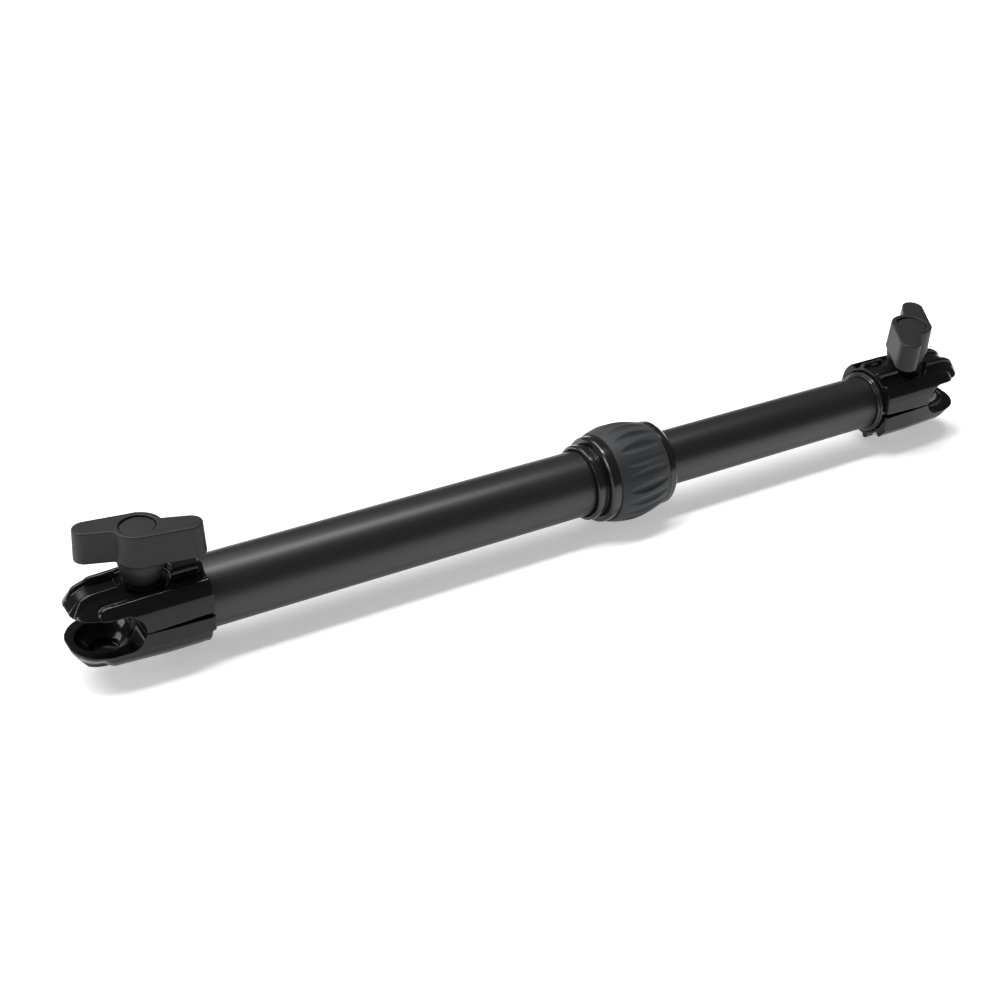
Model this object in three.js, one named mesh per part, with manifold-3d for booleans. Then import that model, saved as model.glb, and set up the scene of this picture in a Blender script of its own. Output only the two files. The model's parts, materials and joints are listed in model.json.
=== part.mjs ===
// Telescoping cargo bar: two tubes joined by a twist-lock collar, with a ball-socket
// clamp and a wing knob at each end. Millimetres, +X along the bar from the outer tube
// to the inner tube, +Z up along the clamp screws. The origin is the centre of the ball
// socket at the outer-tube end.
import * as THREE from 'three';
import { mergeVertices } from 'three/addons/utils/BufferGeometryUtils.js';
import Module from 'manifold-3d';

const wasm = await Module();
wasm.setup();

// ---------------------------------------------------------------- driving dimensions
const SOCKET_SPAN = 640; // centre to centre of the two ball sockets
const OUTER_TUBE_R = 44.45 / 2;
const INNER_TUBE_R = 38.1 / 2;
const TUBE_WALL = 2;
const BALL_R = 38.1 / 2;
const GAP = 0.3; // left between pieces that touch
const RUNNING_GAP = 0.2; // radial play of the sliding guide bush
const ROUND = 30; // facets around a full turn of a large round piece
const SMALL_ROUND = 14; // and of a small one

// End clamp, measured from the socket centre towards the tube
const KNOB_X = 27;
const JAW_REAR = 60;
const NOSE_X = -22.6;
const NOSE_START_X = 2;
const MOUTH_BOTTOM = -9.8; // the ball's stem swings between these heights
const MOUTH_TOP = 13.4;
const MOUTH_END_X = 18.5;
const BORE_START_X = 46;
const SLIT_FRONT = 0.2; // the split faces start this far from the split plane
const LOWER_SLIT_REAR = 1.2; // and are this far from it at the rear
const UPPER_SLIT_REAR = 1.8;
const JAW_BORE_R = OUTER_TUBE_R + GAP;
const POCKET_R = 16.5;
const POCKET_FLOOR = 19.5;
const SPRING_SEAT = 10; // depth of the spring's counterbore from the split plane
const SPRING_SEAT_R = 6.8;
const JAW_SCREW_X = 54;
const JAW_SCREW_ANGLE = 36; // degrees each side of straight down

// Clamp screw and knob
const BOLT_R = 4;
const BOLT_HEAD_FLATS = 13;
const BOLT_HEAD_BOTTOM = -25;
const BOLT_HEAD_HEIGHT = 5;
const BOLT_TOP = 46;
const WASHER_R = 13;
const WASHER_THICK = 1.5;
const KNOB_WING_BOTTOM = 37;
const KNOB_TOP = 57;
const HUB_R = 14.4;
const WING_END_R = 7.5;
const WING_END_X = 29;
const WING_OFFSET = 1.8; // how far each wing is set back from the hub's centre line
const KNOB_DRAFT = 1.03; // the moulding is this much wider at the bottom of its wings
const NECK_TOP_R = 13.2;
const NECK_BOTTOM_R = 11;
const CAP_R = 10.3;
const CAP_DEPTH = 2.4;
const CAP_SINK = 0.5;
const INSERT_R = 6.5;
const LEFT_KNOB_TURN = -18.7; // degrees, as the knobs stand at rest
const RIGHT_KNOB_TURN = 49.3;
const RIGHT_END_TURN = 4; // how far the inner tube stands turned about the bar at rest

// Twist collar, positions along the bar
const COLLAR_START = 328;
const GRIP_START = 343.8;
const GRIP_END = 383;
const COLLAR_END = 390.5;
const OUTER_TUBE_END = 352;
const LIP_R = 25.6;
const RING_R = 29.4;
const END_RING_R = 29;
const SPOOL_R = 26.6;
const GRIP_EDGE_R = 30.2;
const GRIP_BULGE_R = 33.4;
const GRIP_LOBES = 20;
const THREAD_R = 24.8;

// Inner tube
const INNER_TUBE_START = 268;
const GUIDE_LENGTH = 14;
const GUIDE_SPIGOT = 22;

// ---------------------------------------------------------------- materials
const finish = (color, roughness, metalness) =>
  new THREE.MeshStandardMaterial({ color, roughness, metalness });
const materials = {
  tube: finish(0x17181a, 0.45, 0.3),
  gloss: finish(0x050505, 0.12, 0.2),
  collar: finish(0x0b0b0c, 0.22, 0.0),
  rubber: finish(0x1d1f23, 0.75, 0.0),
  knob: finish(0x26272a, 0.6, 0.0),
  steel: finish(0x9a9da1, 0.35, 1.0),
  brass: finish(0xb08d4a, 0.35, 1.0),
  plastic: finish(0x2a2b2d, 0.55, 0.0),
};

// ---------------------------------------------------------------- geometry helpers
const radians = THREE.MathUtils.degToRad;

// Vertices merged and, where a profile was drawn clockwise, faces turned outwards.
function closed(geometry) {
  const bare = geometry.clone();
  for (const name of Object.keys(bare.attributes)) {
    if (name !== 'position') bare.deleteAttribute(name);
  }
  const merged = mergeVertices(bare, 1e-4);
  const index = merged.index.array;
  const kept = [];
  for (let i = 0; i < index.length; i += 3) {
    const [a, b, c] = [index[i], index[i + 1], index[i + 2]];
    if (a !== b && b !== c && c !== a) kept.push(a, b, c);
  }
  merged.setIndex(kept);
  const p = merged.attributes.position;
  const [a, b, c] = [new THREE.Vector3(), new THREE.Vector3(), new THREE.Vector3()];
  let volume = 0;
  for (let i = 0; i < kept.length; i += 3) {
    a.fromBufferAttribute(p, kept[i]);
    b.fromBufferAttribute(p, kept[i + 1]);
    c.fromBufferAttribute(p, kept[i + 2]);
    volume += a.dot(b.cross(c));
  }
  if (volume < 0) merged.setIndex(kept.slice().reverse());
  return merged;
}

function solid(geometry) {
  const g = closed(geometry);
  return new wasm.Manifold(new wasm.Mesh({
    numProp: 3,
    vertProperties: new Float32Array(g.attributes.position.array),
    triVerts: new Uint32Array(g.index.array),
  }));
}

function geometryOf(manifold) {
  const mesh = manifold.getMesh();
  const g = new THREE.BufferGeometry();
  g.setAttribute('position', new THREE.BufferAttribute(new Float32Array(mesh.vertProperties), 3));
  g.setIndex(new THREE.BufferAttribute(new Uint32Array(mesh.triVerts), 1));
  g.computeVertexNormals();
  return g;
}

// Cuts every tool out of the base; both are geometries.
function cut(base, ...tools) {
  return geometryOf(tools.reduce((body, tool) => body.subtract(solid(tool)), solid(base)));
}

function join(first, ...others) {
  return geometryOf(others.reduce((body, other) => body.add(solid(other)), solid(first)));
}

// A profile of [x, radius] points turned about the bar's X axis. It closes on itself.
function turned(profile, segments = ROUND) {
  const points = [...profile, profile[0]].map(([x, r]) => new THREE.Vector2(Math.max(r, 0), x));
  const g = new THREE.LatheGeometry(points, segments);
  g.rotateZ(-Math.PI / 2);
  return closed(g);
}

// The same about the Z axis, from [radius, z] points.
function turnedUpright(profile, segments = SMALL_ROUND) {
  const points = [...profile, profile[0]].map(([r, z]) => new THREE.Vector2(Math.max(r, 0), z));
  const g = new THREE.LatheGeometry(points, segments);
  g.rotateX(Math.PI / 2);
  return closed(g);
}

const rod = (x0, x1, r, segments = ROUND) => turned([[x0, 0], [x0, r], [x1, r], [x1, 0]], segments);
const post = (z0, z1, r, segments = SMALL_ROUND) =>
  turnedUpright([[0, z0], [r, z0], [r, z1], [0, z1]], segments);
const pipe = (x0, x1, inner, outer) =>
  turned([[x0, inner], [x0, outer], [x1, outer], [x1, inner]]);

function box(x0, x1, y0, y1, z0, z1) {
  const g = new THREE.BoxGeometry(x1 - x0, y1 - y0, z1 - z0);
  g.translate((x0 + x1) / 2, (y0 + y1) / 2, (z0 + z1) / 2);
  return g;
}

// Rings of equal point counts joined side by side, with flat ends.
function loft(rings) {
  const count = rings[0].length;
  const positions = rings.flat(2);
  const index = [];
  for (let k = 0; k + 1 < rings.length; k++) {
    for (let i = 0; i < count; i++) {
      const j = (i + 1) % count;
      const [a, b] = [k * count + i, k * count + j];
      index.push(a, b, b + count, a, b + count, a + count);
    }
  }
  for (const [k, last] of [[0, false], [rings.length - 1, true]]) {
    const flat = rings[k].map((p) => new THREE.Vector2(p[1], p[2]));
    const faces = THREE.ShapeUtils.triangulateShape(flat, []);
    const along = (corners) => Math.sign(THREE.ShapeUtils.area(corners));
    for (const face of faces) {
      const inRingOrder = along(face.map((i) => flat[i])) === along(flat);
      const corner = face.map((i) => k * count + i);
      index.push(...(inRingOrder === last ? corner : corner.reverse()));
    }
  }
  const g = new THREE.BufferGeometry();
  g.setAttribute('position', new THREE.Float32BufferAttribute(positions, 3));
  g.setIndex(index);
  return closed(g);
}

const moved = (geometry, x = 0, y = 0, z = 0) => geometry.clone().translate(x, y, z);

// A piece that lies on a spoke of the bar, at an angle from straight down.
const onSpoke = (geometry, degrees) => geometry.clone().rotateX(radians(degrees));

// ---------------------------------------------------------------- end clamp
// Half of the jaw's outer section as [y, z]: side wall, shoulder ridge, flute, top ridge
// and the channel between the two top ridges.
const JAW_SECTION = [
  [25.7, 0], [25.7, 6], [24.8, 13], [20.4, 19.8], [19.6, 21], [17.6, 21.5],
  [16.4, 20.6], [12, 22.6], [10, 24.4], [9.2, 26.6], [8.6, 27], [7, 27], [6.2, 26.6],
  [5.6, 24.6],
];

// Where the section shrinks over the nose: [x, width scale, height scale].
function jawStations() {
  const stations = [[JAW_REAR, 1, 1], [25, 1, 1], [21, 0.98, 0.968], [NOSE_START_X, 0.97, 0.95]];
  const noseSteps = 7;
  const lastTurn = radians(80);
  for (let i = 1; i <= noseSteps; i++) {
    const turn = (i / noseSteps) * lastTurn;
    const along = Math.sin(turn) / Math.sin(lastTurn);
    const x = THREE.MathUtils.lerp(NOSE_START_X, NOSE_X, along);
    stations.push([x, 0.97 * Math.cos(turn), 0.95 * Math.sqrt(1 - Math.pow(Math.sin(turn), 2.8))]);
  }
  return stations;
}

// The outside of one jaw, from the split plane up; side is +1 upper and -1 lower.
function jawBlank(side) {
  const half = JAW_SECTION;
  const outline = [...half, ...half.slice().reverse().map(([y, z]) => [-y, z])];
  return loft(jawStations().map(([x, wide, high]) =>
    outline.map(([y, z]) => [x, y * wide, side * z * high])));
}

// The mouth: a slot across the clamp with a round inner end. It reaches higher above the
// split than below it.
function mouth() {
  const radius = (MOUTH_TOP - MOUTH_BOTTOM) / 2;
  const centre = new THREE.Vector2(MOUTH_END_X - radius, MOUTH_BOTTOM + radius);
  const shape = new THREE.Shape();
  shape.moveTo(NOSE_X - 10, MOUTH_BOTTOM);
  shape.lineTo(centre.x, MOUTH_BOTTOM);
  shape.absarc(centre.x, centre.y, radius, -Math.PI / 2, Math.PI / 2, false);
  shape.lineTo(NOSE_X - 10, MOUTH_TOP);
  shape.closePath();
  const g = new THREE.ExtrudeGeometry(shape, { depth: 80, bevelEnabled: false, curveSegments: 10 });
  g.rotateX(Math.PI / 2);
  g.translate(0, 40, 0);
  return closed(g);
}

// The ball seat: a spherical cup with a shallow relief at its pole.
function cup(side) {
  const sphere = new THREE.SphereGeometry(BALL_R + 0.2, 24, 14);
  sphere.rotateX(Math.PI / 2);
  const relief = post(0, 20.6, 8.5);
  if (side < 0) relief.rotateX(Math.PI);
  return [closed(sphere), relief];
}

// The space between a jaw's split face and the split plane; it widens towards the rear.
function slitWedge(side, rearDrop) {
  const shape = new THREE.Shape();
  shape.moveTo(MOUTH_END_X - 12, side * SLIT_FRONT);
  shape.lineTo(MOUTH_END_X + 2, side * SLIT_FRONT);
  shape.lineTo(JAW_REAR + 1, side * rearDrop);
  shape.lineTo(JAW_REAR + 1, -side * 5);
  shape.lineTo(MOUTH_END_X - 12, -side * 5);
  shape.closePath();
  const g = new THREE.ExtrudeGeometry(shape, { depth: 80, bevelEnabled: false });
  g.rotateX(Math.PI / 2);
  g.translate(0, 40, 0);
  return closed(g);
}

function tubeBore() {
  return turned([[BORE_START_X, 0], [BORE_START_X, JAW_BORE_R], [JAW_REAR - 1.2, JAW_BORE_R],
    [JAW_REAR + 1, JAW_BORE_R + 2.2], [JAW_REAR + 1, 0]]);
}

// The flutes beside the top ridges are sunk deeper behind the knob.
function sunkFlutes(side) {
  const flutes = [];
  for (const y of [-13.6, 13.6]) {
    const low = side > 0 ? 21.4 : -30;
    const high = side > 0 ? 30 : -21.4;
    flutes.push(box(KNOB_X + 14, JAW_REAR - 3, y - 3.2, y + 3.2, low, high));
  }
  return flutes;
}

function lowerJaw() {
  const hexR = (BOLT_HEAD_FLATS / 2 + GAP) / Math.cos(Math.PI / 6);
  const screwHoles = [-JAW_SCREW_ANGLE, JAW_SCREW_ANGLE].flatMap((angle) => [
    onSpoke(moved(post(-30, -15, 2.5), JAW_SCREW_X), angle),
    onSpoke(moved(post(-40, -24.4, 4.4), JAW_SCREW_X), angle),
  ]);
  return cut(jawBlank(-1), mouth(), ...cup(-1), slitWedge(-1, LOWER_SLIT_REAR), tubeBore(),
    moved(post(-40, 5, BOLT_R + GAP), KNOB_X),
    moved(post(-SPRING_SEAT, 5, SPRING_SEAT_R), KNOB_X),
    moved(post(-40, BOLT_HEAD_BOTTOM + BOLT_HEAD_HEIGHT + GAP, hexR, 6), KNOB_X),
    ...screwHoles);
}

function upperJaw() {
  // Both are long holes: the jaw swings about its rear edge, so it also moves forward.
  const screwSlot = join(post(-5, 40, BOLT_R + 0.6), moved(post(-5, 40, BOLT_R + 0.6), 1.8));
  const springSlot = join(post(-5, SPRING_SEAT, SPRING_SEAT_R),
    moved(post(-5, SPRING_SEAT, SPRING_SEAT_R), 2.8));
  return cut(jawBlank(1), mouth(), ...cup(1), tubeBore(), ...sunkFlutes(1),
    moved(screwSlot, KNOB_X),
    moved(springSlot, KNOB_X),
    moved(post(POCKET_FLOOR, 40, POCKET_R, 28), KNOB_X), slitWedge(1, UPPER_SLIT_REAR));
}

function clampBolt() {
  const headTop = BOLT_HEAD_BOTTOM + BOLT_HEAD_HEIGHT;
  const headR = BOLT_HEAD_FLATS / 2 / Math.cos(Math.PI / 6);
  return moved(join(post(BOLT_HEAD_BOTTOM, headTop, headR, 6), post(headTop - 0.5, BOLT_TOP, BOLT_R)),
    KNOB_X);
}

// Open coil between the jaws. Its ends lie in the two counterbores.
function clampSpring() {
  const wire = 0.7;
  const meanR = 5.6;
  const turns = 4;
  const bottom = -SPRING_SEAT + GAP + wire;
  const top = SPRING_SEAT - GAP - wire;
  class Helix extends THREE.Curve {
    getPoint(t) {
      const angle = t * turns * 2 * Math.PI;
      return new THREE.Vector3(meanR * Math.cos(angle), meanR * Math.sin(angle),
        bottom + (top - bottom) * t);
    }
  }
  const section = new THREE.Shape();
  section.absarc(0, 0, wire, 0, Math.PI * 2, false);
  const g = new THREE.ExtrudeGeometry(section, {
    steps: turns * 10, bevelEnabled: false, extrudePath: new Helix(), curveSegments: 3,
  });
  return moved(closed(g), KNOB_X);
}

function thrustWasher() {
  const bottom = POCKET_FLOOR + GAP;
  const profile = [[BOLT_R + 0.6, bottom], [WASHER_R, bottom], [WASHER_R, bottom + WASHER_THICK],
    [BOLT_R + 0.6, bottom + WASHER_THICK]];
  return moved(turnedUpright(profile, 20), KNOB_X);
}

// Plan of the knob: a round hub with two wings, each tangent to the hub on one side and
// stepped in from it on the other.
function knobPlan() {
  const shape = new THREE.Shape();
  const centreDistance = Math.hypot(WING_END_X, WING_OFFSET);
  const lean = Math.atan2(WING_OFFSET, WING_END_X);
  const spread = Math.asin((HUB_R - WING_END_R) / centreDistance);
  const stepY = WING_END_R - WING_OFFSET;
  const stepAngle = Math.asin(stepY / HUB_R);
  for (const half of [0, Math.PI]) {
    const hubTangent = half - Math.PI / 2 - lean + spread;
    const centre = new THREE.Vector2(WING_END_X, -WING_OFFSET).rotateAround(new THREE.Vector2(), half);
    shape.absarc(0, 0, HUB_R, half - Math.PI + stepAngle, hubTangent, false);
    shape.absarc(centre.x, centre.y, WING_END_R, hubTangent, half + Math.PI / 2, false);
  }
  shape.closePath();
  return shape;
}

function knobBody() {
  const height = KNOB_TOP - KNOB_WING_BOTTOM;
  const wings = new THREE.ExtrudeGeometry(knobPlan(), {
    depth: height, bevelEnabled: false, curveSegments: 6,
  });
  const p = wings.attributes.position;
  for (let i = 0; i < p.count; i++) {
    const grow = THREE.MathUtils.lerp(KNOB_DRAFT, 1, p.getZ(i) / height);
    p.setXY(i, p.getX(i) * grow, p.getY(i) * grow);
  }
  wings.translate(0, 0, KNOB_WING_BOTTOM);
  const neckBottom = POCKET_FLOOR + 2 * GAP + WASHER_THICK;
  const neck = turnedUpright([[0, neckBottom], [NECK_BOTTOM_R - 1, neckBottom],
    [NECK_BOTTOM_R, neckBottom + 1.2], [NECK_BOTTOM_R + 0.9, neckBottom + 7],
    [NECK_TOP_R, KNOB_WING_BOTTOM + 0.5], [0, KNOB_WING_BOTTOM + 0.5]], 20);
  const whole = join(wings, neck);
  return cut(whole, post(neckBottom - 1, BOLT_TOP + 1.5, INSERT_R + GAP),
    post(KNOB_TOP - CAP_DEPTH, KNOB_TOP + 1, CAP_R + GAP, 20));
}

function knobInsert() {
  const bottom = POCKET_FLOOR + 2 * GAP + WASHER_THICK + 0.5;
  const inner = BOLT_R + GAP;
  return turnedUpright([[inner, bottom], [INSERT_R, bottom], [INSERT_R, BOLT_TOP + 1],
    [inner, BOLT_TOP + 1]]);
}

function knobCap() {
  return post(KNOB_TOP - CAP_DEPTH + GAP, KNOB_TOP - CAP_SINK, CAP_R, 20);
}

// Plug in the end of a tube; its flange covers the tube's end face inside the jaws.
function endPlug(tubeR) {
  const inner = tubeR - TUBE_WALL - GAP;
  const body = turned([[46.6, 0], [46.6, tubeR - 0.4], [48.6, tubeR - 0.4], [48.6, inner],
    [70, inner], [71.5, inner - 1.5], [71.5, inner - 4], [60, inner - 4], [60, 0]]);
  const holes = [-JAW_SCREW_ANGLE, JAW_SCREW_ANGLE].map((angle) =>
    onSpoke(moved(post(-30, -10, 2.5), JAW_SCREW_X), angle));
  return cut(body, ...holes);
}

function jawScrew(angle) {
  const profile = [[0, -26.4], [3.2, -26.4], [4, -25.6], [4, -24.7], [2.2, -24.7], [2.2, -12.5],
    [1.2, -11.5], [0, -11.5]];
  return onSpoke(moved(turnedUpright(profile, 14), JAW_SCREW_X), angle);
}

// Sleeve that fills the jaws' bore around the thinner tube, with a stepped lip behind.
function reducerSleeve() {
  const inner = INNER_TUBE_R + GAP;
  const body = turned([[46.6, inner], [46.6, OUTER_TUBE_R], [62.2, OUTER_TUBE_R],
    [62.8, OUTER_TUBE_R - 0.6], [62.8, INNER_TUBE_R + 1.7], [64.2, INNER_TUBE_R + 1.4],
    [64.2, inner]]);
  const holes = [-JAW_SCREW_ANGLE, JAW_SCREW_ANGLE].map((angle) =>
    onSpoke(moved(post(-30, -10, 2.5), JAW_SCREW_X), angle));
  return cut(body, ...holes);
}

function mesh(name, geometry, material) {
  const m = new THREE.Mesh(geometry, material);
  m.name = name;
  return m;
}

// A whole clamp in its own frame: socket centre at the origin, tube towards +X.
function endClamp(prefix, tubeR, knobTurn) {
  const group = new THREE.Group();
  group.add(mesh(`${prefix}_lower_jaw`, lowerJaw(), materials.gloss));
  group.add(mesh(`${prefix}_upper_jaw`, upperJaw(), materials.gloss));
  group.add(mesh(`${prefix}_clamp_bolt`, clampBolt(), materials.steel));
  group.add(mesh(`${prefix}_clamp_spring`, clampSpring(), materials.steel));
  group.add(mesh(`${prefix}_thrust_washer`, thrustWasher(), materials.steel));
  group.add(mesh(`${prefix}_end_plug`, endPlug(tubeR), materials.plastic));
  group.add(mesh(`${prefix}_jaw_screw_front`, jawScrew(-JAW_SCREW_ANGLE), materials.steel));
  group.add(mesh(`${prefix}_jaw_screw_back`, jawScrew(JAW_SCREW_ANGLE), materials.steel));
  const knob = new THREE.Group();
  knob.position.set(KNOB_X, 0, 0);
  knob.rotation.z = radians(knobTurn);
  knob.add(mesh(`${prefix}_knob_body`, knobBody(), materials.knob));
  knob.add(mesh(`${prefix}_knob_insert`, knobInsert(), materials.brass));
  knob.add(mesh(`${prefix}_knob_cap`, knobCap(), materials.knob));
  group.add(knob);
  return group;
}

// ---------------------------------------------------------------- tubes
const tubeHoles = () => [-JAW_SCREW_ANGLE, JAW_SCREW_ANGLE].map((angle) =>
  onSpoke(moved(post(-30, -10, 2.6), JAW_SCREW_X), angle));

function outerTube() {
  return cut(pipe(49, OUTER_TUBE_END, OUTER_TUBE_R - TUBE_WALL, OUTER_TUBE_R), ...tubeHoles());
}

// Drawn from the right-hand socket, then turned round to face it.
function innerTube() {
  const g = cut(pipe(49, SOCKET_SPAN - INNER_TUBE_START, INNER_TUBE_R - TUBE_WALL, INNER_TUBE_R),
    ...tubeHoles());
  return g.rotateZ(Math.PI).translate(SOCKET_SPAN, 0, 0);
}

// Bush on the inner tube's hidden end: its head runs in the outer tube.
function guideBush() {
  const head = OUTER_TUBE_R - TUBE_WALL - RUNNING_GAP;
  const spigot = INNER_TUBE_R - TUBE_WALL - GAP;
  const start = INNER_TUBE_START - GAP - GUIDE_LENGTH;
  const shoulder = INNER_TUBE_START - GAP;
  return turned([[start, spigot - 3], [start, head - 1], [start + 1, head], [shoulder, head],
    [shoulder, spigot], [shoulder + GUIDE_SPIGOT, spigot], [shoulder + GUIDE_SPIGOT, spigot - 3]]);
}

// ---------------------------------------------------------------- twist collar
const COLLET_KEY_WIDTH = 6;

// Ring fixed on the end of the outer tube: a visible lip, a neck and the threaded part.
function collarBase() {
  const inner = OUTER_TUBE_R + GAP;
  const body = turned([[COLLAR_START, inner], [COLLAR_START, LIP_R - 1.2], [COLLAR_START + 1, LIP_R],
    [COLLAR_START + 4.6, LIP_R], [COLLAR_START + 5.4, LIP_R - 1.2], [COLLAR_START + 8, LIP_R - 1.2],
    [COLLAR_START + 8, THREAD_R], [OUTER_TUBE_END + 3, THREAD_R], [OUTER_TUBE_END + 3, inner]]);
  return cut(body, box(OUTER_TUBE_END - 3, OUTER_TUBE_END + 4, -COLLET_KEY_WIDTH / 2 - GAP,
    COLLET_KEY_WIDTH / 2 + GAP, -30, 30));
}

// Split bush that grips the inner tube: a keyed ring with tapered fingers.
function collet() {
  const inner = INNER_TUBE_R + GAP;
  const start = OUTER_TUBE_END + 4.6;
  const end = COLLAR_END - 8;
  const body = turned([[start, inner], [start, 24.4], [start + 6, 24.4], [start + 8, 23.6],
    [end, 21.8], [end, inner]]);
  const keys = [-1, 1].map((side) => box(OUTER_TUBE_END + 0.6, start + 2, -COLLET_KEY_WIDTH / 2,
    COLLET_KEY_WIDTH / 2, side > 0 ? 22.8 : -24.2, side > 0 ? 24.2 : -22.8));
  const slots = [0, 60, 120].map((degrees) =>
    onSpoke(box(start + 5, end + 1, -1, 1, -30, 30), degrees + 30));
  return cut(join(body, ...keys), ...slots);
}

// The spool that the hand turns: a ring at each end and the grip's seat between them.
function twistSleeve() {
  const bore = THREAD_R + GAP;
  const ringStart = COLLAR_START + 8.6;
  return turned([[ringStart, bore], [ringStart, RING_R - 1.4], [ringStart + 1.2, RING_R],
    [GRIP_START - GAP, RING_R], [GRIP_START - GAP, SPOOL_R], [GRIP_END + GAP, SPOOL_R],
    [GRIP_END + GAP, END_RING_R], [COLLAR_END - 1.6, END_RING_R - 0.5], [COLLAR_END, END_RING_R - 2],
    [COLLAR_END, 21.2], [COLLAR_END - 6.4, 21.2], [COLLAR_END - 6.4, 22.3], [COLLAR_END - 8, 22.3],
    [OUTER_TUBE_END + 12, 24.3], [OUTER_TUBE_END + 10.4, bore]]);
}

function wiperSeal() {
  return turned([[COLLAR_END - 5.8, INNER_TUBE_R + 1.5], [COLLAR_END - 5.8, 20.9],
    [COLLAR_END - 0.6, 20.9], [COLLAR_END - 0.6, INNER_TUBE_R + 0.8],
    [COLLAR_END - 1.8, INNER_TUBE_R + GAP], [COLLAR_END - 3, INNER_TUBE_R + 1.2]]);
}

// Rubber barrel with shallow flutes that die out before its ends.
function gripSleeve() {
  const steps = 6;
  const around = GRIP_LOBES * 2;
  const outerRing = (k) => {
    const t = k / steps;
    const x = GRIP_START + (GRIP_END - GRIP_START) * t;
    const barrel = THREE.MathUtils.lerp(GRIP_EDGE_R, END_RING_R, t)
      + (GRIP_BULGE_R - GRIP_EDGE_R) * Math.sin(Math.PI * t);
    const ring = [];
    for (let i = 0; i < around; i++) {
      const angle = (i / around) * 2 * Math.PI;
      const flute = 0.45 * Math.sin(Math.PI * t) * (1 - Math.cos(GRIP_LOBES * angle));
      ring.push([x, (barrel - flute) * Math.cos(angle), (barrel - flute) * Math.sin(angle)]);
    }
    return ring;
  };
  const blank = loft(Array.from({ length: steps + 1 }, (_, k) => outerRing(k)));
  return cut(blank, rod(GRIP_START - 1, GRIP_END + 1, SPOOL_R + GAP));
}

// ---------------------------------------------------------------- assembly
const bar = new THREE.Group();
bar.add(mesh('outer_tube', outerTube(), materials.tube));
bar.add(mesh('guide_bush', guideBush(), materials.plastic));
bar.add(mesh('collar_base', collarBase(), materials.collar));
bar.add(mesh('collet', collet(), materials.plastic));
bar.add(mesh('twist_sleeve', twistSleeve(), materials.collar));
bar.add(mesh('grip_sleeve', gripSleeve(), materials.rubber));
bar.add(mesh('wiper_seal', wiperSeal(), materials.rubber));

bar.add(endClamp('left', OUTER_TUBE_R, LEFT_KNOB_TURN));

const right = endClamp('right', INNER_TUBE_R, RIGHT_KNOB_TURN - 180);
right.add(mesh('right_reducer_sleeve', reducerSleeve(), materials.collar));
right.position.set(SOCKET_SPAN, 0, 0);
right.rotation.z = Math.PI;
const innerEnd = new THREE.Group();
innerEnd.rotation.x = radians(RIGHT_END_TURN);
innerEnd.add(mesh('inner_tube', innerTube(), materials.tube), right);
bar.add(innerEnd);

export default bar;
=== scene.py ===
# %% [markdown]
# # A cargo bar for a truck bed
# Two black tubes slide in one another. A twist collar with a rubber barrel locks them, and
# each end carries a die-cast clamp that closes on a ball when its wing knob is turned.
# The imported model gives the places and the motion. This file gives each piece its fine
# surface and its finish, one piece at a time, and every size below is in millimetres until
# the moment a mesh is made.

# %% Load the frame
import json
import math

import bmesh
import bpy
from mathutils import Matrix, Vector


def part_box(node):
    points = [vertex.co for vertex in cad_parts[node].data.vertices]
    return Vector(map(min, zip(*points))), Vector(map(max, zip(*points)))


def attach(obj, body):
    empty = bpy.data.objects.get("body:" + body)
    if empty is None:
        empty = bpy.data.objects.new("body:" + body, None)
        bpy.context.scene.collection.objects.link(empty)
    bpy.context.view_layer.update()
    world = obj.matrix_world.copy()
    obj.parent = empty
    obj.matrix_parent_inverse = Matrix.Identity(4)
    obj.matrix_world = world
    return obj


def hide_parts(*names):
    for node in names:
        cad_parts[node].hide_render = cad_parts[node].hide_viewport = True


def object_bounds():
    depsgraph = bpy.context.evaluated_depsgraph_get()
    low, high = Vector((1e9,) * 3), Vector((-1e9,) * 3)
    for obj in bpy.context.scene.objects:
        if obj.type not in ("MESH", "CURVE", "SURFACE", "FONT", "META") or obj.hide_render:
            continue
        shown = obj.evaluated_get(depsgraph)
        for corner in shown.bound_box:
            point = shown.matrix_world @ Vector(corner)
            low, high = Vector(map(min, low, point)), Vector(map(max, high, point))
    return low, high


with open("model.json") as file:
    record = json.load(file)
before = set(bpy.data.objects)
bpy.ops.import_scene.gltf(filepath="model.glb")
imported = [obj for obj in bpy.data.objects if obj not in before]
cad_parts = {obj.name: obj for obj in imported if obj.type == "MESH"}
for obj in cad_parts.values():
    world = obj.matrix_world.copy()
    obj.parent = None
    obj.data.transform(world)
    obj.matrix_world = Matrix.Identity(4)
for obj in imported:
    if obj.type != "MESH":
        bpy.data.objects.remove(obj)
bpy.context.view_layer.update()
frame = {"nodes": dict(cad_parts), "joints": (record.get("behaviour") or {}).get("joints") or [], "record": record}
MM = 0.001
mounts = {m["name"]: Vector(m["pos_m"]) for m in frame["record"]["mounts"]}
joints = {j["name"]: j for j in frame["joints"]}

# %% [markdown]
# ## Where the two clamps stand
# Both clamps are the same casting. The left one stands at the origin and looks along -X.
# The right one is the same shape turned half a turn about Z, moved to its socket and rolled
# a few degrees about the bar. One matrix says so, and it is read from the frame: the right
# knob's axis gives the roll.

# %% Place of each clamp
knob_axis = Vector(joints["right_knob_turn"]["axis"])
roll = math.atan2(-knob_axis.y, knob_axis.z)
PLACE = {
    "left": Matrix.Identity(4),
    "right": Matrix.Translation(mounts["right_socket"]) @ Matrix.Rotation(roll, 4, "X")
    @ Matrix.Rotation(math.pi, 4, "Z"),
}
BODY = {"left": "outer", "right": "inner"}
KNOB_X = joints["left_knob_turn"]["pos_m"][0] / MM
print("right end is rolled", round(math.degrees(roll), 2), "degrees")

# %% [markdown]
# ## Sums written as sums
# Both materials and Geometry Nodes work by small Math nodes. Wiring them by hand hides the
# formula, so a thin class wraps an output socket and turns `a * b + 1` into nodes.

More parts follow.
